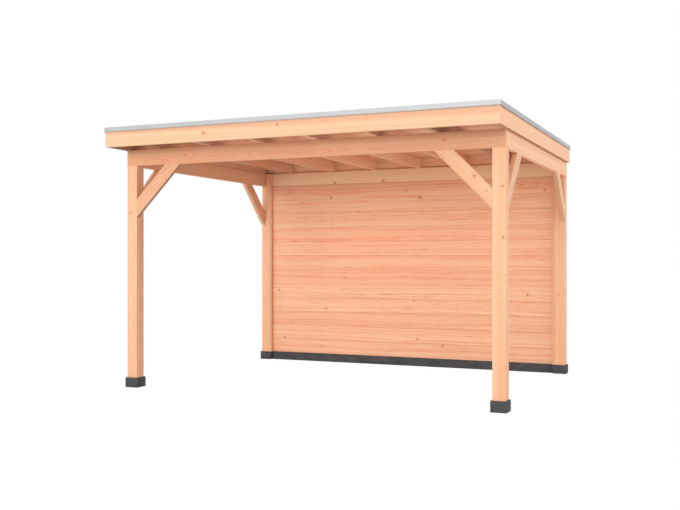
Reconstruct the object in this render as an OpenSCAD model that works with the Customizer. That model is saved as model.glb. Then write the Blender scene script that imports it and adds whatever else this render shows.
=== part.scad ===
// Patio cover with a flat roof, open on three sides and boarded at the back.
// Units are millimetres. +X is to the right seen from the open front, +Y to the back, +Z up.
// The origin is on the ground, under the centre of the whole cover.

/* [Frame] */
// Width over the outer faces of the posts
frame_w = 4000; // [3200:50:5000]
// Depth over the outer faces of the posts
frame_d = 3040; // [2400:20:4000]
// Side of each square post
post_w = 120; // [100:5:160]
// Height of each foot and of the base under the wall
foot_h = 102; // [60:2:200]
// How far a foot stands out past its post on each side
foot_margin = 15; // [5:1:30]
// Clear height from the ground to the underside of the beams
head_h = 2308; // [2000:4:2600]

/* [Beams and braces] */
// Thickness of the beams
beam_t = 45; // [38:1:60]
// Height of the beams
beam_h = 162; // [120:2:220]
// How far a brace reaches along its beam and down its post
brace_reach = 532; // [420:2:700]
// Width of a brace across its grain
brace_w = 131; // [90:1:160]
// Thickness of a brace
brace_t = 45; // [38:1:60]

/* [Roof] */
// Thickness of a rafter
rafter_t = 45; // [35:1:60]
// Height of a rafter
rafter_h = 128; // [100:2:200]
// From the left face of the first rafter to the left face of the second
first_bay = 397; // [250:1:480]
// How far the rafters run out past the front beam
eave = 295; // [150:5:450]
// Thickness of the roof boards
deck_t = 18; // [12:1:28]
// Thickness of the rubber membrane
membrane_t = 2; // [1:0.5:4]
// Thickness of the fascia boards
fascia_t = 28; // [18:1:36]
// Height of the fascia boards
fascia_h = 195; // [180:1:240]
// Height of the face of the roof trim
trim_h = 42; // [30:1:60]
// Metal thickness of the roof trim
trim_t = 2; // [1:0.5:4]
// Drip gap between the fascia and the face of the trim
trim_gap = 6; // [2:1:12]
// How far the trim covers the roof inside the fascia
trim_lap = 12; // [6:1:30]

/* [Back wall] */
// Thickness of the wall boards
wall_t = 28; // [18:1:34]
// Thickness of the base under the wall
base_t = 60; // [40:1:80]
// Width of the battens beside the posts
batten_w = 23; // [18:1:40]
// Width of the studs behind the wall boards
stud_w = 45; // [35:1:70]

/* [Hidden] */

timber = "#eebd92";
timber_shade = "#d99c77";
foot_grey = "#565452";
trim_grey = "#cdcbca";
membrane_black = "#2c2c2e";

// Heights of the roof's layers
beam_top = head_h + beam_h;
rafter_top = beam_top + rafter_h;
deck_top = rafter_top + deck_t;
fascia_top = beam_top + fascia_h;

// Outer faces of the posts, about the centre of the whole cover
trim_out = trim_gap + trim_t;
left = -frame_w / 2;
right = frame_w / 2;
front = -(frame_d - eave) / 2;
back = front + frame_d;

// Faces of the roof's edge, outside the fascia boards
edge_left = left - fascia_t;
edge_right = right + fascia_t;
edge_front = front - eave - fascia_t;
edge_back = back + fascia_t;

// Rafters: the first bay is set, and the others share the rest of the width
rafter_count = 8;
other_bay = (frame_w - rafter_t - first_bay) / (rafter_count - 2);
function rafter_left(i) = left + (i == 0 ? 0 : first_bay + (i - 1) * other_bay);

// Layers of the back wall, from the front faces of the back posts
post_back_front = back - post_w;
wall_front = back - (post_w + wall_t) / 2;
wall_back = wall_front + wall_t;

// Overlap of cutting shapes past the faces that they cut
cut = 1;

// A box between two corners
module slab(from, to) {
    translate(from)
        cube(to - from);
}

// Takes a shape that is drawn at the left to the right side
module to_right() {
    mirror([1, 0, 0])
        children();
}

// Post at the left, notched at its head for the beams that lap over it
module post(is_back) {
    y0 = is_back ? post_back_front : front;
    color(timber)
        difference() {
            slab([left, y0, foot_h], [left + post_w, y0 + post_w, beam_top]);
            slab([left - cut, y0 - cut, head_h], [left + beam_t, y0 + post_w + cut, beam_top + cut]);
            if (!is_back)
                slab([left, y0 - cut, head_h], [left + post_w + cut, y0 + beam_t, beam_top + cut]);
        }
}

// Square foot under a post at the left
module foot(is_back) {
    y0 = is_back ? post_back_front : front;
    color(foot_grey)
        slab([left - foot_margin, y0 - foot_margin, 0],
             [left + post_w + foot_margin, y0 + post_w + foot_margin, foot_h]);
}

// Base between the back feet, which carries the wall boards
module wall_base() {
    x0 = left + post_w + foot_margin;
    y0 = back - (post_w + base_t) / 2;
    color(foot_grey)
        slab([x0, y0, 0], [-x0, y0 + base_t, foot_h]);
}

// Front beam, flush with the faces of the posts and over their full width
module beam_front() {
    color(timber)
        slab([left, front, head_h], [right, front + beam_t, beam_top]);
}

// Side beam at the left, flush with the outer faces of the posts
module beam_side() {
    color(timber_shade)
        slab([left, front + beam_t, head_h], [left + beam_t, back, beam_top]);
}

// Back beam, with a tongue at each end that fits between the battens
module beam_back() {
    tongue_end = left + post_w;
    beam_end = tongue_end + batten_w;
    y0 = back - (post_w + beam_t) / 2;
    color(timber)
        union() {
            slab([beam_end, y0, head_h], [-beam_end, y0 + beam_t, beam_top]);
            slab([tongue_end, wall_front, head_h], [-tongue_end, wall_back, beam_top]);
        }
}

// Brace outline: u runs along the beam and v down the post, from the corner between them
function brace_outline() =
    let (inner = brace_reach - brace_w * sqrt(2))
    [[inner, 0], [brace_reach, 0], [0, -brace_reach], [0, -inner]];

// Brace in the front plane at the left, flush with the face of the front beam
module brace_front() {
    color(timber)
        translate([left + post_w, front + brace_t, head_h])
            rotate([90, 0, 0])
                linear_extrude(brace_t)
                    polygon(brace_outline());
}

// Brace in the left side plane, flush with the outer face of the side beam
module brace_side(is_back) {
    color(timber_shade)
        translate([left, is_back ? post_back_front : front + post_w, head_h])
            mirror([0, is_back ? 1 : 0, 0])
                rotate([90, 0, 90])
                    linear_extrude(brace_t)
                        polygon(brace_outline());
}

// Rafter number i, from the front fascia to the back fascia
module rafter(i) {
    color(timber_shade)
        slab([rafter_left(i), front - eave, beam_top], [rafter_left(i) + rafter_t, back, rafter_top]);
}

// Roof boards on top of the rafters
module roof_deck() {
    color(timber_shade)
        slab([left, front - eave, rafter_top], [right, back, deck_top]);
}

// Rubber membrane, turned up behind the fascia boards
module roof_membrane() {
    color(membrane_black)
        difference() {
            slab([left, front - eave, deck_top], [right, back, fascia_top]);
            slab([left + membrane_t, front - eave + membrane_t, deck_top + membrane_t],
                 [right - membrane_t, back - membrane_t, fascia_top + cut]);
        }
}

// Corner i of the roof's edge, moved outwards by out; corner 0 is front left, counted anticlockwise
function edge_corner(i, out) = [
    i == 0 || i == 3 ? edge_left - out : edge_right + out,
    i < 2 ? edge_front - out : edge_back + out
];

// Mitred strip along side i of the roof, between two distances out and two heights
module edge_strip(i, out_0, out_1, z0, z1) {
    j = (i + 1) % 4;
    translate([0, 0, z0])
        linear_extrude(z1 - z0)
            polygon([edge_corner(i, out_1), edge_corner(j, out_1), edge_corner(j, out_0), edge_corner(i, out_0)]);
}

// Fascia board on side i
module fascia(i) {
    color(timber)
        edge_strip(i, -fascia_t, 0, beam_top, fascia_top);
}

// Angle trim on side i: a flange over the fascia and a face that hangs in front of it
module trim(i) {
    color(trim_grey)
        union() {
            edge_strip(i, -fascia_t - trim_lap, trim_out, fascia_top, fascia_top + trim_t);
            edge_strip(i, trim_gap, trim_out, fascia_top + trim_t - trim_h, fascia_top + trim_t);
        }
}

// Wall of boards between the back posts, from the base up to the back beam
module back_wall() {
    color(timber)
        slab([left + post_w, wall_front, foot_h], [right - post_w, wall_back, head_h]);
}

// Batten on the inner face of the left back post, in front of the wall boards or behind them
module batten(is_rear) {
    color(timber)
        slab([left + post_w, is_rear ? wall_back : post_back_front, foot_h],
             [left + post_w + batten_w, is_rear ? back : wall_front, beam_top]);
}

// Stud behind the wall boards, a third of the way in from the left
module wall_stud() {
    x_mid = left + frame_w / 3;
    color(timber_shade)
        slab([x_mid - stud_w / 2, wall_back, foot_h], [x_mid + stud_w / 2, back, head_h]);
}

post(false);  // post_front_left
to_right() post(false);  // post_front_right
post(true);  // post_back_left
to_right() post(true);  // post_back_right
foot(false);  // foot_front_left
to_right() foot(false);  // foot_front_right
foot(true);  // foot_back_left
to_right() foot(true);  // foot_back_right
wall_base();
beam_front();
beam_side();  // beam_left
to_right() beam_side();  // beam_right
beam_back();
brace_front();  // brace_front_left
to_right() brace_front();  // brace_front_right
brace_side(false);  // brace_left_front
brace_side(true);  // brace_left_back
to_right() brace_side(false);  // brace_right_front
to_right() brace_side(true);  // brace_right_back
for (i = [0:rafter_count - 1])
    rafter(i);
roof_deck();
roof_membrane();
fascia(0);  // fascia_front
fascia(1);  // fascia_right
fascia(2);  // fascia_back
fascia(3);  // fascia_left
trim(0);  // trim_front
trim(1);  // trim_right
trim(2);  // trim_back
trim(3);  // trim_left
back_wall();
batten(false);  // batten_front_left
to_right() batten(false);  // batten_front_right
batten(true);  // batten_rear_left
to_right() batten(true);  // batten_rear_right
wall_stud();  // wall_stud_left
to_right() wall_stud();  // wall_stud_right
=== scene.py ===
"""Patio cover: the finish of every surface, the light and the camera.

Metres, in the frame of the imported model: +X to the right seen from the open front, +Y to the
boarded back wall, +Z up, with the ground at zero.
"""
import math
import random

import bmesh
import bpy
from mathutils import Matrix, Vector


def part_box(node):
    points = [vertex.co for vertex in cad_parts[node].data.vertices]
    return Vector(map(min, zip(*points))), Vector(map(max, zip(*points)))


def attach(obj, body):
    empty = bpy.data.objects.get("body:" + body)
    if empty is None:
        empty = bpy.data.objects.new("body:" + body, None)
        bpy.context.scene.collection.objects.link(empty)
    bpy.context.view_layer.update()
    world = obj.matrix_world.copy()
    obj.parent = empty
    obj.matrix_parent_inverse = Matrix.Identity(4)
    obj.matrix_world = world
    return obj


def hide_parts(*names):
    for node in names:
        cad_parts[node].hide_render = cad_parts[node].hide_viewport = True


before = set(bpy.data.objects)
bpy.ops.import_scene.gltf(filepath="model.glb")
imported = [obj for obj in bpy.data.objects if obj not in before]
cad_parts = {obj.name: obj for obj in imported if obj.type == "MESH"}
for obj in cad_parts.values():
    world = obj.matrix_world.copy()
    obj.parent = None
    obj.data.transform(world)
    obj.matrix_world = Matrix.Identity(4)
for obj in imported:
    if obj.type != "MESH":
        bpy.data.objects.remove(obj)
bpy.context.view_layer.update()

X, Y, Z = Vector((1, 0, 0)), Vector((0, 1, 0)), Vector((0, 0, 1))
WHITE = (1.0, 1.0, 1.0)
rng = random.Random(41)


# ---------------------------------------------------------------- node trees

class Tree:
    """The nodes of a material or of the world, with short calls for those that repeat."""

    def __init__(self, owner):
        self.owner = owner
        owner.use_nodes = True
        self.nodes = owner.node_tree.nodes
        self.links = owner.node_tree.links
        self.shader = self.nodes.get("Principled BSDF")

    def put(self, socket, value):
        """Links or sets an input. Colours are given as red, green and blue."""
        if isinstance(value, bpy.types.NodeSocket):
            self.links.new(value, socket)
        elif socket.type == "RGBA":
            socket.default_value = (*value, 1.0)
        else:
            socket.default_value = value

    def add(self, kind, values=(), **settings):
        """A node with these settings, and with values or links for its first inputs."""
        node = self.nodes.new(kind)
        for key, value in settings.items():
            setattr(node, key, value)
        for socket, value in zip(node.inputs, values):
            self.put(socket, value)
        return node

    def math(self, operation, *values, clamp=False):
        return self.add("ShaderNodeMath", values, operation=operation, use_clamp=clamp).outputs[0]

    def vector(self, operation, *values):
        node = self.add("ShaderNodeVectorMath", values, operation=operation)
        return node.outputs["Value" if operation == "LENGTH" else "Vector"]

    def split(self, vector):
        return self.add("ShaderNodeSeparateXYZ", [vector]).outputs

    def join(self, x, y, z):
        return self.add("ShaderNodeCombineXYZ", [x, y, z]).outputs[0]

    def attribute(self, name):
        return self.add("ShaderNodeAttribute", attribute_name=name).outputs

    def place(self):
        """The point on the piece or the floor."""
        return self.add("ShaderNodeTexCoord").outputs["Object"]

    def noise(self, vector, cells, detail, roughness=0.5):
        """Noise with that many cells to the metre along each axis."""
        node = self.add("ShaderNodeTexNoise", noise_dimensions="3D")
        self.put(node.inputs["Vector"], self.vector("MULTIPLY", vector, cells))
        node.inputs["Scale"].default_value = 1.0
        node.inputs["Detail"].default_value = detail
        node.inputs["Roughness"].default_value = roughness
        return node.outputs

    def span(self, value, low, high, to_low=0.0, to_high=1.0):
        """Turns low to high smoothly into to_low to to_high."""
        values = [value, low, high, to_low, to_high]
        return self.add("ShaderNodeMapRange", values, interpolation_type="SMOOTHSTEP").outputs[0]

    def mix(self, share, first, second, blend="MIX"):
        node = self.add("ShaderNodeMix", data_type="RGBA", blend_type=blend, clamp_result=True)
        for index, value in ((0, share), (6, first), (7, second)):
            self.put(node.inputs[index], value)
        return node.outputs[2]

    def bump(self, height, strength, distance):
        node = self.add("ShaderNodeBump")
        node.inputs["Strength"].default_value = strength
        node.inputs["Distance"].default_value = distance
        self.put(node.inputs["Height"], height)
        self.put(self.shader.inputs["Normal"], node.outputs[0])

    def surface(self, **values):
        for key, value in values.items():
            self.put(self.shader.inputs[key.replace("_", " ")], value)
        return self.owner


# ---------------------------------------------------------------- wood

# Noise in the wood: cells to the metre along, across and through a board
WANDER, SWAY, WAVER = (0.55, 3.0, 3.0), (1.7, 8.0, 8.0), (6.5, 30.0, 30.0)
WIDE, STREAK, RESIN = (0.8, 9.0, 9.0), (1.4, 22.0, 22.0), (5.0, 70.0, 70.0)
FIBRE, DASH = (26.0, 850.0, 850.0), (60.0, 1400.0, 1400.0)

KNOTS_PER_BOARD = 4
KNOT_HALO, KNOT_PALE, KNOT_DARK = (0.78, 0.33, 0.155), (0.60, 0.215, 0.095), (0.44, 0.145, 0.060)
KNOT_SQUASH = 0.8       # under 1 makes knots longer along the grain
KNOT_SHARPNESS = 700.0  # how fast a knot's edge ends, per metre
KNOT_REACH = 2.2        # how far the wood round a knot changes, in radii
KNOT_PUSH = 1.3         # how far it pushes the year rings aside, in radii
KNOT_RINGS = 520.0      # its own rings to the metre
NO_KNOT = 0.0005        # a radius under this means no knot


def heart_distance(t, grain, wave):
    """Distance from the heart of the log, with the slow wander of a trunk and a finer waviness."""
    bent = grain
    for cells, detail, swing in ((WANDER, 1.0, 0.075), (SWAY, 1.0, 0.020 * wave),
                                 (WAVER, 2.0, 0.007 * wave)):
        push = t.noise(grain, cells, detail)["Color"]
        bent = t.vector("MULTIPLY_ADD", push, (0.0, swing, swing), bent)
    return t.vector("LENGTH", t.vector("MULTIPLY", bent, (0.0, 1.0, 1.0)))


def knots_in(t, along, across, radius):
    """The board's knots as a mask, the wood round them and their own rings, and the distance from
    the heart of the log with the year rings pushed aside."""
    mask, halo, rings = 0.0, 0.0, 0.0
    for i in range(KNOTS_PER_BOARD):
        k_along, k_across, k_radius = t.split(t.attribute(f"knot{i}")["Vector"])
        off_along = t.math("MULTIPLY", t.math("SUBTRACT", along, k_along), KNOT_SQUASH)
        away = t.vector("LENGTH", t.join(off_along, t.math("SUBTRACT", across, k_across), 0.0))
        inside = t.math("MULTIPLY", t.math("SUBTRACT", k_radius, away), KNOT_SHARPNESS, clamp=True)
        reach = t.math("MAXIMUM", t.math("MULTIPLY", k_radius, KNOT_REACH), 0.0001)
        fall = t.math("POWER", t.math("DIVIDE", away, reach), 2.0)
        near = t.math("MULTIPLY", t.math("EXPONENT", t.math("MULTIPLY", fall, -1.0)),
                      t.math("GREATER_THAN", k_radius, NO_KNOT))
        turns = t.math("MULTIPLY", inside, t.math("MULTIPLY", away, KNOT_RINGS))
        mask = t.math("MAXIMUM", mask, inside)
        halo = t.math("MAXIMUM", halo, near)
        rings = t.math("MAXIMUM", rings, turns)
        radius = t.math("MULTIPLY_ADD", near, t.math("MULTIPLY", k_radius, KNOT_PUSH), radius)
    return mask, halo, rings, radius


def year_rings(t, radius, spacing):
    """The dark late wood of each year, stronger in some years than in others."""
    turn = t.math("DIVIDE", radius, spacing)
    ring = t.math("FRACT", turn)
    band = t.math("MULTIPLY", t.span(ring, 0.35, 0.9), t.span(ring, 0.93, 1.0, 1.0, 0.0))
    year = t.add("ShaderNodeTexWhiteNoise", noise_dimensions="1D")
    t.put(year.inputs["W"], t.math("FLOOR", turn))
    return t.math("MULTIPLY", band, t.math("MULTIPLY_ADD", year.outputs["Value"], 0.50, 0.22))


def year_groups(t, along, radius):
    """Slow change between years of red wood and years of pale wood."""
    node = t.add("ShaderNodeTexNoise", noise_dimensions="1D")
    t.put(node.inputs["W"], t.math("MULTIPLY_ADD", along, 0.04, t.math("MULTIPLY", radius, 30.0)))
    node.inputs["Scale"].default_value = 1.0
    node.inputs["Detail"].default_value = 1.0
    return node.outputs["Fac"]


def wood(name, heart, late, sap, figure, wave):
    """Planed softwood. The grain attribute holds each point's place along, across and through its
    board from the heart of the log, so the rings run right through and show at the ends."""
    t = Tree(bpy.data.materials.new(name))
    grain = t.attribute("grain")["Vector"]
    board = t.attribute("board")
    tone, warmth, spacing = t.split(board["Vector"])
    sap_edge = board["Alpha"]
    along, across, _ = t.split(grain)
    knot, halo, knot_rings, radius = knots_in(t, along, across, heart_distance(t, grain, wave))
    late_wood = year_rings(t, radius, spacing)
    years = year_groups(t, along, radius)
    streak = t.noise(grain, STREAK, 3.0, 0.55)["Fac"]
    wide = t.noise(grain, WIDE, 1.0)["Fac"]
    resin = t.noise(grain, RESIN, 2.0)["Fac"]
    fibre = t.noise(grain, FIBRE, 2.0, 0.6)["Fac"]
    dash = t.noise(grain, DASH, 0.0)["Fac"]

    colour = t.mix(t.span(t.math("MULTIPLY_ADD", wide, 0.05, across), sap_edge,
                          t.math("ADD", sap_edge, 0.04)), sap, heart)
    colour = t.mix(late_wood, colour, late)
    middling = tuple((a + b) / 2 for a, b in zip(sap, heart))
    for value, low, high, share_low, share_high, tint in (
            (years, 0.44, 0.66, 0.0, 0.55, late),
            (years, 0.28, 0.44, 0.40, 0.0, sap),
            (streak, 0.50, 0.78, 0.0, 0.35, late),
            (wide, 0.35, 0.70, 0.0, 0.25, middling)):
        share = t.span(value, low, high, share_low * figure, share_high * figure)
        colour = t.mix(share, colour, tint)
    lines = t.math("MULTIPLY", t.span(resin, 0.57, 0.74, 0.0, 0.55 * figure),
                   t.span(years, 0.40, 0.62, 0.15, 1.0))
    colour = t.mix(lines, colour, (0.84 * late[0], 0.66 * late[1], 0.60 * late[2]))

    # The board's own tone and warmth, with fine fibres and short dark dashes
    red = t.math("MULTIPLY", tone, t.math("MULTIPLY_ADD", fibre, 0.20, 0.90))
    red = t.math("MULTIPLY", red, t.span(dash, 0.66, 0.74, 1.0, 0.92))
    green = t.math("MULTIPLY", red, t.math("MULTIPLY_ADD", warmth, -0.10, 1.0))
    blue = t.math("MULTIPLY", red, t.math("MULTIPLY_ADD", warmth, -0.15, 1.0))
    colour = t.mix(1.0, colour, t.join(red, green, blue), "MULTIPLY")
    colour = t.mix(t.math("MULTIPLY", halo, 0.42), colour, KNOT_HALO)
    knot_colour = t.mix(t.math("FRACT", knot_rings), KNOT_PALE, KNOT_DARK)
    colour = t.mix(t.math("MULTIPLY", knot, 0.90), colour, knot_colour)

    height = t.math("ADD", t.math("MULTIPLY", late_wood, 0.55), t.math("MULTIPLY", fibre, 0.5))
    t.bump(t.math("ADD", height, t.math("MULTIPLY", knot, 0.15)), 0.30, 0.0008)
    roughness = t.math("MULTIPLY_ADD", fibre, 0.16, 0.54)
    return t.surface(Base_Color=colour, Roughness=roughness, Specular_IOR_Level=0.25)


# ---------------------------------------------------------------- other materials

def cast_block():
    """Dark grey cast feet and base: fine aggregate, pale worn patches and small air holes with
    painted shade in them.
    """
    t = Tree(bpy.data.materials.new("cast_block"))
    place = t.place()
    speck = t.noise(place, (420.0, 420.0, 420.0), 2.0, 0.6)["Fac"]
    cloud = t.noise(place, (9.0, 9.0, 14.0), 3.0, 0.6)["Fac"]
    hole = t.add("ShaderNodeTexVoronoi", feature="F1")
    t.put(hole.inputs["Vector"], t.vector("MULTIPLY", place, (95.0, 95.0, 95.0)))
    # Painted shade: the air holes are darker
    shaded_pit = t.span(hole.outputs["Distance"], 0.10, 0.22)
    colour = t.mix(t.span(cloud, 0.3, 0.75), (0.054, 0.056, 0.059), (0.084, 0.086, 0.090))
    colour = t.mix(t.span(speck, 0.55, 0.8, 0.0, 0.5), colour, (0.150, 0.150, 0.146))
    colour = t.mix(shaded_pit, (0.035, 0.035, 0.034), colour)
    height = t.math("ADD", t.math("MULTIPLY", shaded_pit, 0.8), t.math("MULTIPLY", speck, 0.4))
    t.bump(height, 0.5, 0.0012)
    return t.surface(Base_Color=colour, Roughness=0.82, Specular_IOR_Level=0.3)


def mill_metal():
    """Light grey aluminium trim with the fine lines of its drawing and a little dulling."""
    t = Tree(bpy.data.materials.new("trim_metal"))
    place = t.place()
    drawn = t.noise(place, (2.0, 2.0, 900.0), 2.0)["Fac"]
    dull = t.noise(place, (3.0, 3.0, 6.0), 3.0, 0.6)["Fac"]
    colour = t.mix(t.span(dull, 0.3, 0.7), (0.435, 0.440, 0.444), (0.485, 0.489, 0.493))
    colour = t.mix(t.span(drawn, 0.45, 0.7, 0.0, 0.18), colour, (0.330, 0.335, 0.342))
    t.bump(drawn, 0.08, 0.0003)
    roughness = t.math("MULTIPLY_ADD", dull, 0.18, 0.40)
    return t.surface(Base_Color=colour, Roughness=roughness, Metallic=0.35)


def rubber_sheet():
    """Black roofing sheet: dusty, matt, with slow waves where it lies loose."""
    t = Tree(bpy.data.materials.new("rubber_sheet"))
    place = t.place()
    dust = t.noise(place, (1.6, 1.6, 1.6), 5.0, 0.65)["Fac"]
    slack = t.noise(place, (2.2, 2.2, 2.2), 1.0)["Fac"]
    fine = t.noise(place, (260.0, 260.0, 260.0), 2.0)["Fac"]
    colour = t.mix(t.span(dust, 0.4, 0.72), (0.030, 0.030, 0.032), (0.047, 0.046, 0.045))
    height = t.math("ADD", t.math("MULTIPLY", slack, 30.0), t.math("MULTIPLY", fine, 0.25))
    t.bump(height, 0.5, 0.0006)
    roughness = t.math("MULTIPLY_ADD", dust, 0.25, 0.55)
    return t.surface(Base_Color=colour, Roughness=roughness, Specular_IOR_Level=0.4)


WOODS = {  # colours of the heartwood, late wood and sapwood, strength of the figure, waviness
    "planed_timber": ((0.925, 0.545, 0.335), (0.83, 0.395, 0.215), (0.935, 0.65, 0.41), 0.65, 1.0),
    "fascia_timber": ((0.925, 0.53, 0.332), (0.85, 0.425, 0.245), (0.93, 0.645, 0.40), 0.55, 1.0),
    "roof_timber": ((0.93, 0.585, 0.385), (0.82, 0.42, 0.25), (0.95, 0.66, 0.44), 0.90, 1.0),
    "wall_boards": ((0.955, 0.565, 0.362), (0.87, 0.385, 0.217), (0.96, 0.63, 0.415), 1.35, 2.4),
}
MATERIALS = {name: wood(name, *look) for name, look in WOODS.items()}
MATERIALS.update(footing=cast_block(), roof_trim=mill_metal(), membrane=rubber_sheet())


# ---------------------------------------------------------------- pieces

# A board's axes: along, across and through it
ALONG_X, ALONG_Y, UPRIGHT = (X, Z, Y), (Y, Z, X), (Z, X, Y)
PLAIN_LOOK = dict(knots=(), sap=None, bow=0.0, lean=0.0, ends=None, faces=())
NO_SAPWOOD = -9.0     # an edge of the sapwood that no board reaches
END_FACE = 0.9999     # a timber's end faces lie past this share of its half length
END_GRAIN = 0.002     # how far along a timber the look of its end faces goes
FACING = 0.65         # cosine within which a face counts as looking the way asked for
WHOLE_LENGTH = 9.0    # past the end of any timber, in half lengths


def board_mesh(source=None):
    """A mesh, empty or copied from a CAD node, with room for what the wood materials read."""
    bm = bmesh.new()
    if source:
        bm.from_mesh(source)
    for name in ("grain", *(f"knot{i}" for i in range(KNOTS_PER_BOARD))):
        bm.verts.layers.float_vector.new(name)
    bm.verts.layers.float_color.new("board")
    return bm


def between(value, share):
    """A look that is one number, or a pair for the two edges of a board."""
    low, high = value if isinstance(value, tuple) else (value, value)
    return low + (high - low) * share


def board_look(given):
    """One board's look, drawn at random where it isn't given.

    shift, spacing  place along the log, and width of a year ring
    pith            the heart of the log, across and through from the board's middle
    tone, warmth    one number each, or a pair for the board's two edges
    knots           for each knot a point on the board and a radius
    sap             how far across the board its sapwood reaches, from its middle
    bow, lean       warmth added towards both ends, and share of tone added towards the far end
    ends            tone of the end faces
    faces           painted shade: directions, the tone by which faces that look that way are
                multiplied, the warmth added to them, and up to how many half lengths along
    """
    drawn = dict(
        shift=rng.uniform(5.0, 95.0),
        pith=(rng.uniform(-0.05, 0.05), rng.choice((-1, 1)) * rng.uniform(0.035, 0.11)),
        spacing=rng.uniform(0.0042, 0.0068),
        tone=rng.uniform(0.96, 1.03),
        warmth=rng.uniform(-0.35, 0.5))
    return {**PLAIN_LOOK, **drawn, **given}


def grain_of(bm, verts, axes, middle, **given):
    """Writes a board's place in its log and its look onto its vertices."""
    along, across, through = axes
    look = board_look(given)
    pith = look["pith"]
    sap_edge = NO_SAPWOOD if look["sap"] is None else look["sap"] - pith[0]

    def in_log(point):
        p = point - middle
        return p.dot(along) + look["shift"], p.dot(across) - pith[0], p.dot(through) - pith[1]

    knots = [(*in_log(Vector(point))[:2], radius) for point, radius in look["knots"]]
    knots += [(0.0, 0.0, 0.0)] * (KNOTS_PER_BOARD - len(knots))
    grain, board = bm.verts.layers.float_vector["grain"], bm.verts.layers.float_color["board"]
    spots = [bm.verts.layers.float_vector[f"knot{i}"] for i in range(KNOTS_PER_BOARD)]
    half_width = max(abs((v.co - middle).dot(across)) for v in verts)
    half_length = max(abs((v.co - middle).dot(along)) for v in verts)
    if look["faces"]:
        bmesh.ops.recalc_face_normals(bm, faces=bm.faces)
    for v in verts:
        share = 0.5 + 0.5 * (v.co - middle).dot(across) / half_width
        far = (v.co - middle).dot(along) / half_length
        tone = between(look["tone"], share) * (1 + look["lean"] * far)
        if look["ends"] and abs(far) > END_FACE:
            tone = look["ends"]
        warmth = between(look["warmth"], share) + look["bow"] * far ** 2
        # Painted shade: faces that look one of the given ways get a darker, warmer tone
        for direction, painted_shade, shade_warmth, stop in look["faces"]:
            if far < stop and any(f.normal.dot(direction) > FACING for f in v.link_faces):
                tone, warmth = tone * painted_shade, warmth + shade_warmth
        v[grain] = in_log(v.co)
        v[board] = (tone, warmth, look["spacing"], sap_edge)
        for spot, value in zip(spots, knots):
            v[spot] = value


def finish_piece(name, bm, slot, node=None, material=None, smooth_angle=40.0):
    """Turns the mesh into a piece that rides on the frame and stands for its CAD node."""
    mesh = bpy.data.meshes.new(name)
    bmesh.ops.recalc_face_normals(bm, faces=bm.faces)
    bm.to_mesh(mesh)
    bm.free()
    mesh.materials.append(MATERIALS[material or slot])
    piece = bpy.data.objects.new(name, mesh)
    bpy.context.scene.collection.objects.link(piece)
    mesh.shade_smooth()
    mesh.set_sharp_from_angle(angle=math.radians(smooth_angle))
    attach(piece, "root")
    if node:
        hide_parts(node)


def runs_along(edge, along):
    return abs((edge.verts[1].co - edge.verts[0].co).normalized().dot(along)) > 0.99


def solid_of(node, arris, along=None, ease=None):
    """The CAD node's solid with its outer edges rounded, or only those that run along the timber
    and have their middle where ease allows it."""
    bm = board_mesh(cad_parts[node].data)
    bmesh.ops.remove_doubles(bm, verts=bm.verts, dist=1e-5)
    bmesh.ops.dissolve_limit(bm, angle_limit=0.01, verts=bm.verts, edges=bm.edges)
    outer = [e for e in bm.edges if e.is_convex and (along is None or runs_along(e, along))]
    if ease:
        outer = [e for e in outer if ease((e.verts[0].co + e.verts[1].co) / 2)]
    bmesh.ops.bevel(bm, geom=outer, offset=arris, segments=3, profile=0.5, affect="EDGES",
                    clamp_overlap=True)
    return bm


def cut_across(bm, along, point):
    """A loop of edges across the timber, where its look can change."""
    geometry = [*bm.verts, *bm.edges, *bm.faces]
    bmesh.ops.bisect_plane(bm, geom=geometry, plane_co=point, plane_no=along)


def timber(node, axes, slot="planed_timber", arris=0.003, loops=0, ease=None, **look):
    """A timber that takes its solid from its CAD node."""
    low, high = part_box(node)
    middle, along = (low + high) / 2, axes[0]
    half_length = abs((high - low).dot(along)) / 2
    bm = solid_of(node, arris, along, ease)
    for i in range(1, loops):
        cut_across(bm, along, middle + along * half_length * (2 * i / loops - 1))
    if "ends" in look:
        cut_across(bm, along, low + along * END_GRAIN)
        cut_across(bm, along, high - along * END_GRAIN)
    grain_of(bm, bm.verts, axes, middle, **look)
    finish_piece(f"{node}_timber", bm, slot, node)


def block(node, slot, arris):
    finish_piece(f"{node}_block", solid_of(node, arris), slot, node)


# ---------------------------------------------------------------- frame

POSTS = {
    # front_left's right side is painted darker: painted shade inside the cover
    "front_left": dict(
        tone=0.99, warmth=-0.15, pith=(0.075, 0.03), faces=((X, 0.90, -0.4, WHOLE_LENGTH),),
        knots=[((-1.957, -1.37, 1.818), 0.009)]),
    "front_right": dict(
        tone=(1.02, 0.99), warmth=(-0.5, 0.4), pith=(-0.02, 0.06),
        knots=[((1.972, -1.37, 1.974), 0.009), ((1.979, -1.37, 1.525), 0.009)]),
    "back_left": dict(tone=1.0, warmth=-0.1, pith=(0.05, -0.06)),
    "back_right": dict(
        tone=0.98, warmth=0.15, pith=(-0.06, -0.03), knots=[((1.926, 1.55, 0.917), 0.008)]),
}
# Front beam: its tone and warmth pairs, darker and less red towards its top, are painted shade
# under the fascia's overhang
BEAM_FRONT = dict(
    tone=(0.86, 0.75), warmth=(1.5, 0.6), lean=-0.05, ends=1.02,
    knots=[((-1.288, -1.37, 2.395), 0.010), ((1.445, -1.37, 2.402), 0.011),
           ((0.31, -1.37, 2.352), 0.007)])
# Back beam: its high tone is painted light where the roof shades it
BEAM_BACK = dict(
    tone=1.20, warmth=-0.9, pith=(0.09, 0.08),
    knots=[((-0.945, 1.585, 2.323), 0.011), ((-0.274, 1.585, 2.328), 0.012),
           ((0.93, 1.585, 2.455), 0.008)])
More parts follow.
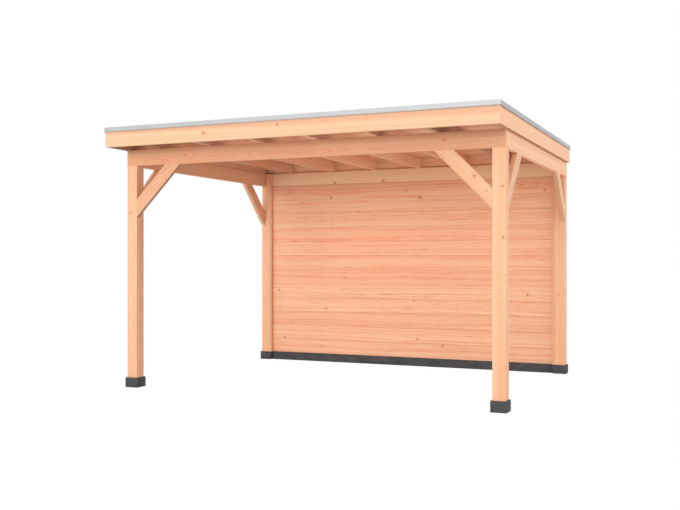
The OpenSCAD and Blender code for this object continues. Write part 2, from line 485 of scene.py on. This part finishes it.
# Painted shade: the darker undersides of brace_front_left and brace_right_back, and
# brace_left_back's low tone at the back of the cover
BRACES = {
    "brace_front_left": dict(tone=0.92, warmth=0.3, faces=((-Z, 0.55, 0.3, WHOLE_LENGTH),)),
    "brace_left_front": dict(tone=0.93),
    "brace_left_back": dict(tone=0.88, knots=[((-1.955, 1.193, 2.236), 0.008)]),
    "brace_front_right": dict(
        tone=0.93, knots=[((1.72, -1.37, 2.07), 0.010), ((1.83, -1.37, 1.93), 0.006)]),
    "brace_right_front": dict(tone=0.98),
    "brace_right_back": dict(tone=0.96, faces=((-Z, 0.85, 0.3, WHOLE_LENGTH),)),
}
RAFTERS = (  # from the left: tone, warmth, by how much the tone of the underside is multiplied; the low tones of the first two and the seventh, and the darker undersides, are painted shade
    (0.80, 0.3, 0.35), (0.81, 0.3, 0.66), (1.02, -0.6, 0.85), (1.03, -0.3, 1.0),
    (1.02, 0.0, 1.0), (0.98, 0.0, 1.0), (0.62, 0.2, 1.0), (0.96, 0.0, 0.72),
)
EAVES = -0.74  # where the rafters pass out over the front beam, in half lengths from the middle; out past it their right sides carry painted shade
FRONT_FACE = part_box("beam_front")[0].y + 0.001


def frame_timbers():
    """Posts on their feet, the base, beams, braces, battens, studs and rafters. The front beam has
    rounded edges at its front face only."""
    for name, look in POSTS.items():
        # bow: warmer towards both ends; at the top this is painted shade under the beam
        timber(f"post_{name}", UPRIGHT, arris=0.004, loops=8, bow=0.55, **look)
        block(f"foot_{name}", "footing", 0.004)
    block("wall_base", "footing", 0.003)
    timber("beam_front", ALONG_X, arris=0.002, ease=lambda p: p.y < FRONT_FACE, **BEAM_FRONT)
    timber("beam_back", ALONG_X, **BEAM_BACK)
    for side, flip in (("left", 1), ("right", -1)):
        for name, rise, slope, through in (
                (f"brace_front_{side}", X * flip + Z, X * flip - Z, Y),
                (f"brace_{side}_front", Y + Z, Y - Z, X),
                (f"brace_{side}_back", Z - Y, Z + Y, X)):
            timber(name, (rise.normalized(), slope.normalized(), through), **BRACES[name])
        # The front battens' darker, warmer tone is painted shade in the corner by the wall
        timber(f"batten_front_{side}", (Z, Y, X), arris=0.002, tone=0.88, warmth=0.3)
        timber(f"batten_rear_{side}", (Z, Y, X), arris=0.002)
        timber(f"wall_stud_{side}", UPRIGHT, arris=0.002)
    # Painted shade on the rafters' undersides and, out in the eaves, on their right sides
    for i, (tone, warmth, under) in enumerate(RAFTERS):
        timber(f"rafter_{i + 1}", ALONG_Y, "roof_timber", loops=16, tone=tone, warmth=warmth,
               faces=((-Z, under, 0.3, WHOLE_LENGTH), (X, 0.64, 0.6, EAVES)))


frame_timbers()


# ---------------------------------------------------------------- sections

def add_prism(bm, section, place):
    """Extrudes a section between two ends; place(point, end) gives each corner."""
    rings = [[bm.verts.new(place(p, end)) for p in section] for end in (0, 1)]
    n = len(section)
    for i in range(n):
        j = (i + 1) % n
        bm.faces.new((rings[0][i], rings[0][j], rings[1][j], rings[1][i]))
    bm.faces.new(rings[0][::-1])
    bm.faces.new(rings[1])
    return rings[0] + rings[1]


def eased(corners, radius, steps=3):
    """A closed section, drawn anticlockwise, with its outer corners rounded."""
    points = []
    n = len(corners)
    for i in range(n):
        p, before, after = (Vector(corners[k % n]) for k in (i, i - 1, i + 1))
        to_before, to_after = (before - p).normalized(), (after - p).normalized()
        if to_after.x * to_before.y - to_after.y * to_before.x < 0.1:
            points.append(tuple(p))
            continue
        start, stop = p + to_before * radius, p + to_after * radius
        for k in range(steps + 1):
            f = k / steps
            points.append(tuple((1 - f) ** 2 * start + 2 * f * (1 - f) * p + f ** 2 * stop))
    return points


# ---------------------------------------------------------------- roof edge

# Each side of the roof's edge: direction along it, and outwards
EDGES = {"front": (X, -Y), "right": (Y, X), "back": (-X, Y), "left": (-Y, -X)}
# The right side beam's raised tone is painted light on the right side
SIDE_BEAMS = {
    "left": dict(tone=0.90, warmth=-0.7),
    "right": dict(tone=1.08, warmth=-0.2, pith=(0.12, 0.05)),
}
# Painted shade on the undersides of the left and right fascias; the right fascia's raised tone is
# painted light on the right side
FASCIAS = {
    "front": dict(
        sap=0.015, tone=(0.93, 0.92), warmth=0.0, pith=(0.16, 0.05),
        knots=[((-0.864, -1.69, 2.55), 0.011), ((-0.066, -1.69, 2.58), 0.009)]),
    "back": dict(tone=0.97),
    "left": dict(faces=((-Z, 0.34, 0.5, WHOLE_LENGTH),)),
    "right": dict(
        tone=1.06, warmth=-0.55, pith=(0.13, 0.06), faces=((-Z, 0.60, 1.3, WHOLE_LENGTH),)),
}
REBATE = 0.004
FASCIA_THICK = 0.028
FASCIA_GROOVE = (0.009, 0.018, 0.007)  # behind the face from and to, and depth
GRAIN_SLOPE = {"front": 0.012}         # fascia boards whose grain doesn't run quite along them
TRIM_SHEET, TRIM_FLANGE, TRIM_BEAD = 0.002, 0.048, 0.002


def side_beam(side, **look):
    """Side beam with a small rebate along its top, which keeps a shadow line under the fascia."""
    node = f"beam_{side}"
    low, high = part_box(node)
    outer, inner, inwards = (high.x, low.x, -1) if side == "right" else (low.x, high.x, 1)
    step = outer + inwards * REBATE
    corners = [(outer, low.z), (inner, low.z), (inner, high.z), (step, high.z),
               (step, high.z - REBATE), (outer, high.z - REBATE)]
    section = eased(corners[::inwards], 0.003)
    bm = board_mesh()
    verts = add_prism(bm, section, lambda p, end: (p[0], high.y if end else low.y, p[1]))
    grain_of(bm, verts, ALONG_Y, (low + high) / 2, **look)
    finish_piece(f"{node}_timber", bm, "planed_timber", node)


def edge_prism(bm, side, node, section):
    """Mitred strip along a side of the roof: section points are (outwards from the node's outer
    face, up)."""
    low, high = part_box(node)
    along, out = EDGES[side]
    outer = max(low.dot(out), high.dot(out))
    half = abs((high - low).dot(along)) / 2
    return add_prism(bm, section, lambda p, end: (
        out * (outer + p[0]) + along * (half + p[0]) * (1 if end else -1) + Z * p[1]))


def fascia(side, **look):
    """Fascia board with a shallow groove along its underside."""
    node = f"fascia_{side}"
    low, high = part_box(node)
    near, far, depth = FASCIA_GROOVE
    section = eased([(0, low.z), (0, high.z), (-FASCIA_THICK, high.z), (-FASCIA_THICK, low.z),
                     (-far, low.z), (-far, low.z + depth), (-near, low.z + depth), (-near, low.z)],
                    0.002, 2)
    bm = board_mesh()
    verts = edge_prism(bm, side, node, section)
    along, out = EDGES[side]
    slope = GRAIN_SLOPE.get(side, 0.0)
    axes = (along - Z * slope).normalized(), (Z + along * slope).normalized(), -out
    grain_of(bm, verts, axes, (low + high) / 2, **look)
    finish_piece(f"{node}_timber", bm, "planed_timber", node, "fascia_timber")


def roof_trim(side):
    """Aluminium angle with a bead along its top and a drip edge that turns out at its foot."""
    node = f"trim_{side}"
    low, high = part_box(node)
    foot, top = low.z, high.z
    inside = [(-TRIM_FLANGE, top - TRIM_SHEET), (-TRIM_SHEET, top - TRIM_SHEET)]
    drip = [(-TRIM_SHEET, foot + 0.001), (0.003, foot - 0.003), (0.0045, foot - 0.0018),
            (0, foot + 0.0035)]
    bead = [(0, top), (-0.0015, top + TRIM_BEAD), (-0.005, top + TRIM_BEAD), (-0.0065, top)]
    bm = board_mesh()
    edge_prism(bm, side, node, [*inside, *drip, *bead, (-TRIM_FLANGE, top)])
    finish_piece(f"{node}_metal", bm, "roof_trim", node, smooth_angle=25.0)


for side, look in SIDE_BEAMS.items():
    side_beam(side, **look)
for side, look in FASCIAS.items():
    fascia(side, **look)


# ---------------------------------------------------------------- wall and roof boards

CLOSING_THICK, CLOSING_GROOVE, CLOSING_GAP = 0.034, 0.024, 0.0005
# The closing boards' tone is painted light; the groove's tone is painted shade
CLOSING_PAINTED_LIGHT, CLOSING_SHADE = 1.10, 0.75
TONGUE_LENGTH, TONGUE_PLAY = 0.008, 0.0005
WALL_PITCH, WALL_CHAMFER, WALL_TONGUE = 0.183, 0.0022, 0.008
TIGHT_JOINT, WIDE_JOINT, TOP_GAP = 0.0007, 0.0032, 0.009
WIDE_JOINTS = (4, 7, 10)  # the joints under these boards, counted from zero
# Painted shade: the wall boards grow darker towards the right end
WALL_SHADE_LEAN = -0.06
WALL_LOOK = (  # from the ground up: warmth, tone, heart across and behind, reach of the sapwood; the tones rise up the wall as painted light against the roof's shade, and the top board's pair, darker at its top, is painted shade under the back beam
    (0.00, 0.97, (0.11, 0.05), None),
    (0.10, 1.00, (-0.12, 0.06), 0.02),
    (0.40, 0.98, (0.01, 0.045), None),
    (-0.20, 1.02, (0.10, -0.07), -0.03),
    (0.10, 1.02, (-0.16, 0.05), 0.05),
    (0.70, 1.01, (-0.015, 0.05), None),
    (0.40, 1.03, (0.12, -0.04), None),
    (0.20, 1.05, (-0.10, 0.05), None),
    (0.60, 1.05, (0.0, 0.04), None),
    (-0.10, 1.07, (0.09, 0.06), None),
    (-0.20, 1.07, (-0.02, 0.055), None),
    (0.20, (1.12, 0.93), (-0.09, -0.05), None),
)
WALL_KNOTS = (  # place along the wall, height, radius
    (0.025, 2.197, 0.008), (0.212, 2.104, 0.013), (-1.006, 2.131, 0.010), (1.485, 2.221, 0.008),
    (1.761, 2.153, 0.009), (-0.992, 1.792, 0.006), (-1.768, 0.923, 0.010), (-1.078, 0.691, 0.010),
    (0.179, 0.338, 0.011), (0.133, 0.812, 0.008), (1.554, 0.91, 0.011), (0.504, 0.262, 0.009),
    (-1.679, 0.299, 0.009), (-1.135, 0.199, 0.006), (-0.808, 1.098, 0.008), (-1.754, 0.669, 0.007),
    (1.284, 0.855, 0.006), (-0.35, 1.47, 0.005), (0.86, 1.86, 0.005),
)
DECK_BOARDS, DECK_JOINT, DECK_CHAMFER, DECK_TONGUE = 24, 0.001, 0.002, 0.005
DECK_WARMTH = 1.2
PAINTED_LIGHT_BOARDS = (7, 8)  # painted light where light falls on these roof boards; counted from zero at the front
PAINTED_LIGHT_TONE, PAINTED_LIGHT_WARMTH = 0.12, 0.4


def closing_boards():
    """Boards between the rafters behind the back beam, paler as painted light, with a shadow gap
    under them whose groove carries painted shade.
    """
    rafters = [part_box(f"rafter_{i + 1}") for i in range(len(RAFTERS))]
    low, high = rafters[0]
    y0, y1 = high.y - CLOSING_THICK, high.y - CLOSING_GAP
    inner, ceiling = y0 + CLOSING_GROOVE, low.z + CLOSING_GROOVE
    section = eased([(inner, low.z), (y1, low.z), (y1, high.z), (y0, high.z), (y0, ceiling),
                     (inner, ceiling)], 0.0015, 2)
    for i, (left, right) in enumerate(zip(rafters, rafters[1:])):
        x0, x1 = left[1].x, right[0].x
        bm = board_mesh()
        verts = add_prism(bm, section, lambda p, end: (x1 if end else x0, p[0], p[1]))
        grain_of(bm, verts, ALONG_X, Vector((x0 + x1, y0 + y1, low.z + high.z)) / 2,
                 tone=CLOSING_PAINTED_LIGHT, warmth=0.1)
        # Painted shade in the groove under the board
        board = bm.verts.layers.float_color["board"]
        for v in verts:
            if v.co.z < ceiling + 0.003 and v.co.y > y0 + 0.004:
                v[board] = (CLOSING_SHADE, *v[board][1:])
        finish_piece(f"closing_board_{i + 1}", bm, "roof_timber")


def board_profile(low, high, front, back, below, above, chamfer, tongue):
    """Section of a tongue-and-groove board as (through, up) points, from low to high. The joints
    below and above it are that wide."""
    mid = (front + back) / 2
    half, slack = tongue / 2, tongue / 2 + TONGUE_PLAY
    foot, top = low + below / 2, high - above / 2
    groove, tip = foot + TONGUE_LENGTH + 0.001, top + TONGUE_LENGTH
    return [
        (front + chamfer, foot), (mid - slack, foot), (mid - slack, groove), (mid + slack, groove),
        (mid + slack, foot), (back - chamfer, foot), (back, foot + chamfer), (back, top - chamfer),
        (back - chamfer, top), (mid + half, top), (mid + half, tip), (mid - half, tip),
        (mid - half, top), (front + chamfer, top), (front, top - chamfer), (front, foot + chamfer),
    ]


def wall_of_boards():
    low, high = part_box("back_wall")
    left, right = low.x + 0.003, high.x - 0.0015
    last = len(WALL_LOOK) - 1
    bm = board_mesh()
    for i, (warmth, tone, pith, sap) in enumerate(WALL_LOOK):
        z0 = low.z + i * WALL_PITCH
        z1 = high.z if i == last else z0 + WALL_PITCH
        below, above = (WIDE_JOINT if k in WIDE_JOINTS else TIGHT_JOINT for k in (i, i + 1))
        section = board_profile(z0, z1, low.y, high.y, below, TOP_GAP if i == last else above,
                                WALL_CHAMFER, WALL_TONGUE)
        section = [(y, min(z, high.z)) for y, z in section]
        verts = add_prism(bm, section, lambda p, end: (right if end else left, p[0], p[1]))
        knots = [((x, low.y, z), r) for x, z, r in WALL_KNOTS if z0 <= z < z1]
        grain_of(bm, verts, ALONG_X, Vector((0, (low.y + high.y) / 2, (z0 + z1) / 2)),
                 knots=knots, sap=sap, pith=pith, tone=tone, warmth=warmth,
                 lean=0.0 if i == last else WALL_SHADE_LEAN)
    finish_piece("back_wall_boards", bm, "wall_boards", "back_wall")


def deck_of_boards():
    low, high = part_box("roof_deck")
    pitch = (high.y - low.y) / DECK_BOARDS
    bm = board_mesh()
    for i in range(DECK_BOARDS):
        y0 = low.y + i * pitch
        y1 = y0 + pitch
        section = board_profile(y0, y1, low.z, high.z, DECK_JOINT, DECK_JOINT, DECK_CHAMFER,
                                DECK_TONGUE)
        section = [(z, min(max(y, low.y), high.y)) for z, y in section]
        verts = add_prism(bm, section, lambda p, end: (high.x if end else low.x, p[1], p[0]))
        # Painted light: two roof boards made paler and less warm
        pale = i in PAINTED_LIGHT_BOARDS
        grain_of(bm, verts, (X, Y, Z), Vector((0, (y0 + y1) / 2, (low.z + high.z) / 2)),
                 tone=rng.uniform(0.90, 0.95) + (PAINTED_LIGHT_TONE if pale else 0.0),
                 warmth=PAINTED_LIGHT_WARMTH if pale else DECK_WARMTH)
    finish_piece("roof_deck_boards", bm, "roof_timber", "roof_deck")


closing_boards()
wall_of_boards()
deck_of_boards()
for side in EDGES:
    roof_trim(side)
block("roof_membrane", "membrane", 0.0006)


# ---------------------------------------------------------------- stage, light and camera

FLOOR_NEAR, FLOOR_FAR = (0.86, 0.86, 0.86), (0.97, 0.97, 0.97)
FLOOR_GLOW, FLOOR_GLOW_SHARE = 1.04, 0.92  # the rest of what the camera sees is the lit floor
WORLD_LIGHT = 0.78
SUNS = (  # name, strength, angle across in degrees, where it shines from
    ("key", 1.20, 22.0, (-0.4, -3.6, 0.30)),
    ("right", 0.62, 20.0, (3.6, -0.5, 2.3)),
    ("left", 0.12, 40.0, (-3.0, -2.4, 2.0)),
)


def seen(t):
    """One for rays that carry what the camera sees, straight or by a reflection."""
    path = t.add("ShaderNodeLightPath").outputs
    return t.math("MAXIMUM", path["Is Camera Ray"],
                  t.math("MAXIMUM", path["Is Glossy Ray"], path["Is Transmission Ray"]))


def floor_material():
    """Pale floor that lights the object as plain matt white and keeps a faint shadow in view."""
    t = Tree(bpy.data.materials.new("pale_floor"))
    away = t.vector("LENGTH", t.place())
    t.surface(Base_Color=t.mix(t.span(away, 4.0, 7.0), FLOOR_NEAR, FLOOR_FAR), Roughness=1.0,
              Specular_IOR_Level=0.0)
    glow = t.add("ShaderNodeEmission", (WHITE, FLOOR_GLOW))
    share = t.math("MULTIPLY", seen(t), FLOOR_GLOW_SHARE)
    blend = t.add("ShaderNodeMixShader", (share, t.shader.outputs[0], glow.outputs[0]))
    t.put(t.nodes["Material Output"].inputs["Surface"], blend.outputs[0])
    return t.owner


def stage():
    bm = bmesh.new()
    bmesh.ops.create_grid(bm, x_segments=4, y_segments=4, size=60.0)
    mesh = bpy.data.meshes.new("floor")
    bm.to_mesh(mesh)
    bm.free()
    mesh.materials.append(floor_material())
    floor = bpy.data.objects.new("floor", mesh)
    floor.location = (0, 0, -0.001)
    bpy.context.scene.collection.objects.link(floor)


def light():
    """Even white light from all round, a soft low key from the front and two soft sides."""
    world = bpy.data.worlds.new("studio")
    bpy.context.scene.world = world
    t = Tree(world)
    plain = t.nodes["Background"]
    t.put(plain.inputs["Color"], WHITE)
    t.put(plain.inputs["Strength"], WORLD_LIGHT)
    backdrop = t.add("ShaderNodeBackground", (WHITE, 1.0))
    blend = t.add("ShaderNodeMixShader", (seen(t), plain.outputs[0], backdrop.outputs[0]))
    t.put(t.nodes["World Output"].inputs["Surface"], blend.outputs[0])
    for name, strength, spread, origin in SUNS:
        lamp = bpy.data.lights.new(name, "SUN")
        lamp.energy = strength
        lamp.angle = math.radians(spread)
        sun = bpy.data.objects.new(name, lamp)
        sun.rotation_euler = Vector(origin).to_track_quat("Z", "Y").to_euler()
        bpy.context.scene.collection.objects.link(sun)


def camera():
    """Level camera in front of the cover and to its right."""
    data = bpy.data.cameras.new("view")
    data.sensor_width = 36.0
    data.lens = 47.88
    data.shift_y = 0.0054
    data.clip_end = 200.0
    view = bpy.data.objects.new("view", data)
    view.location = (3.8486, -9.1282, 1.3407)
    view.rotation_euler = (math.radians(90.0), 0.0, math.radians(23.79))
    bpy.context.scene.collection.objects.link(view)
    bpy.context.scene.camera = view


stage()
light()
camera()
bpy.context.scene.view_settings.view_transform = "Standard"

bpy.context.view_layer.update()
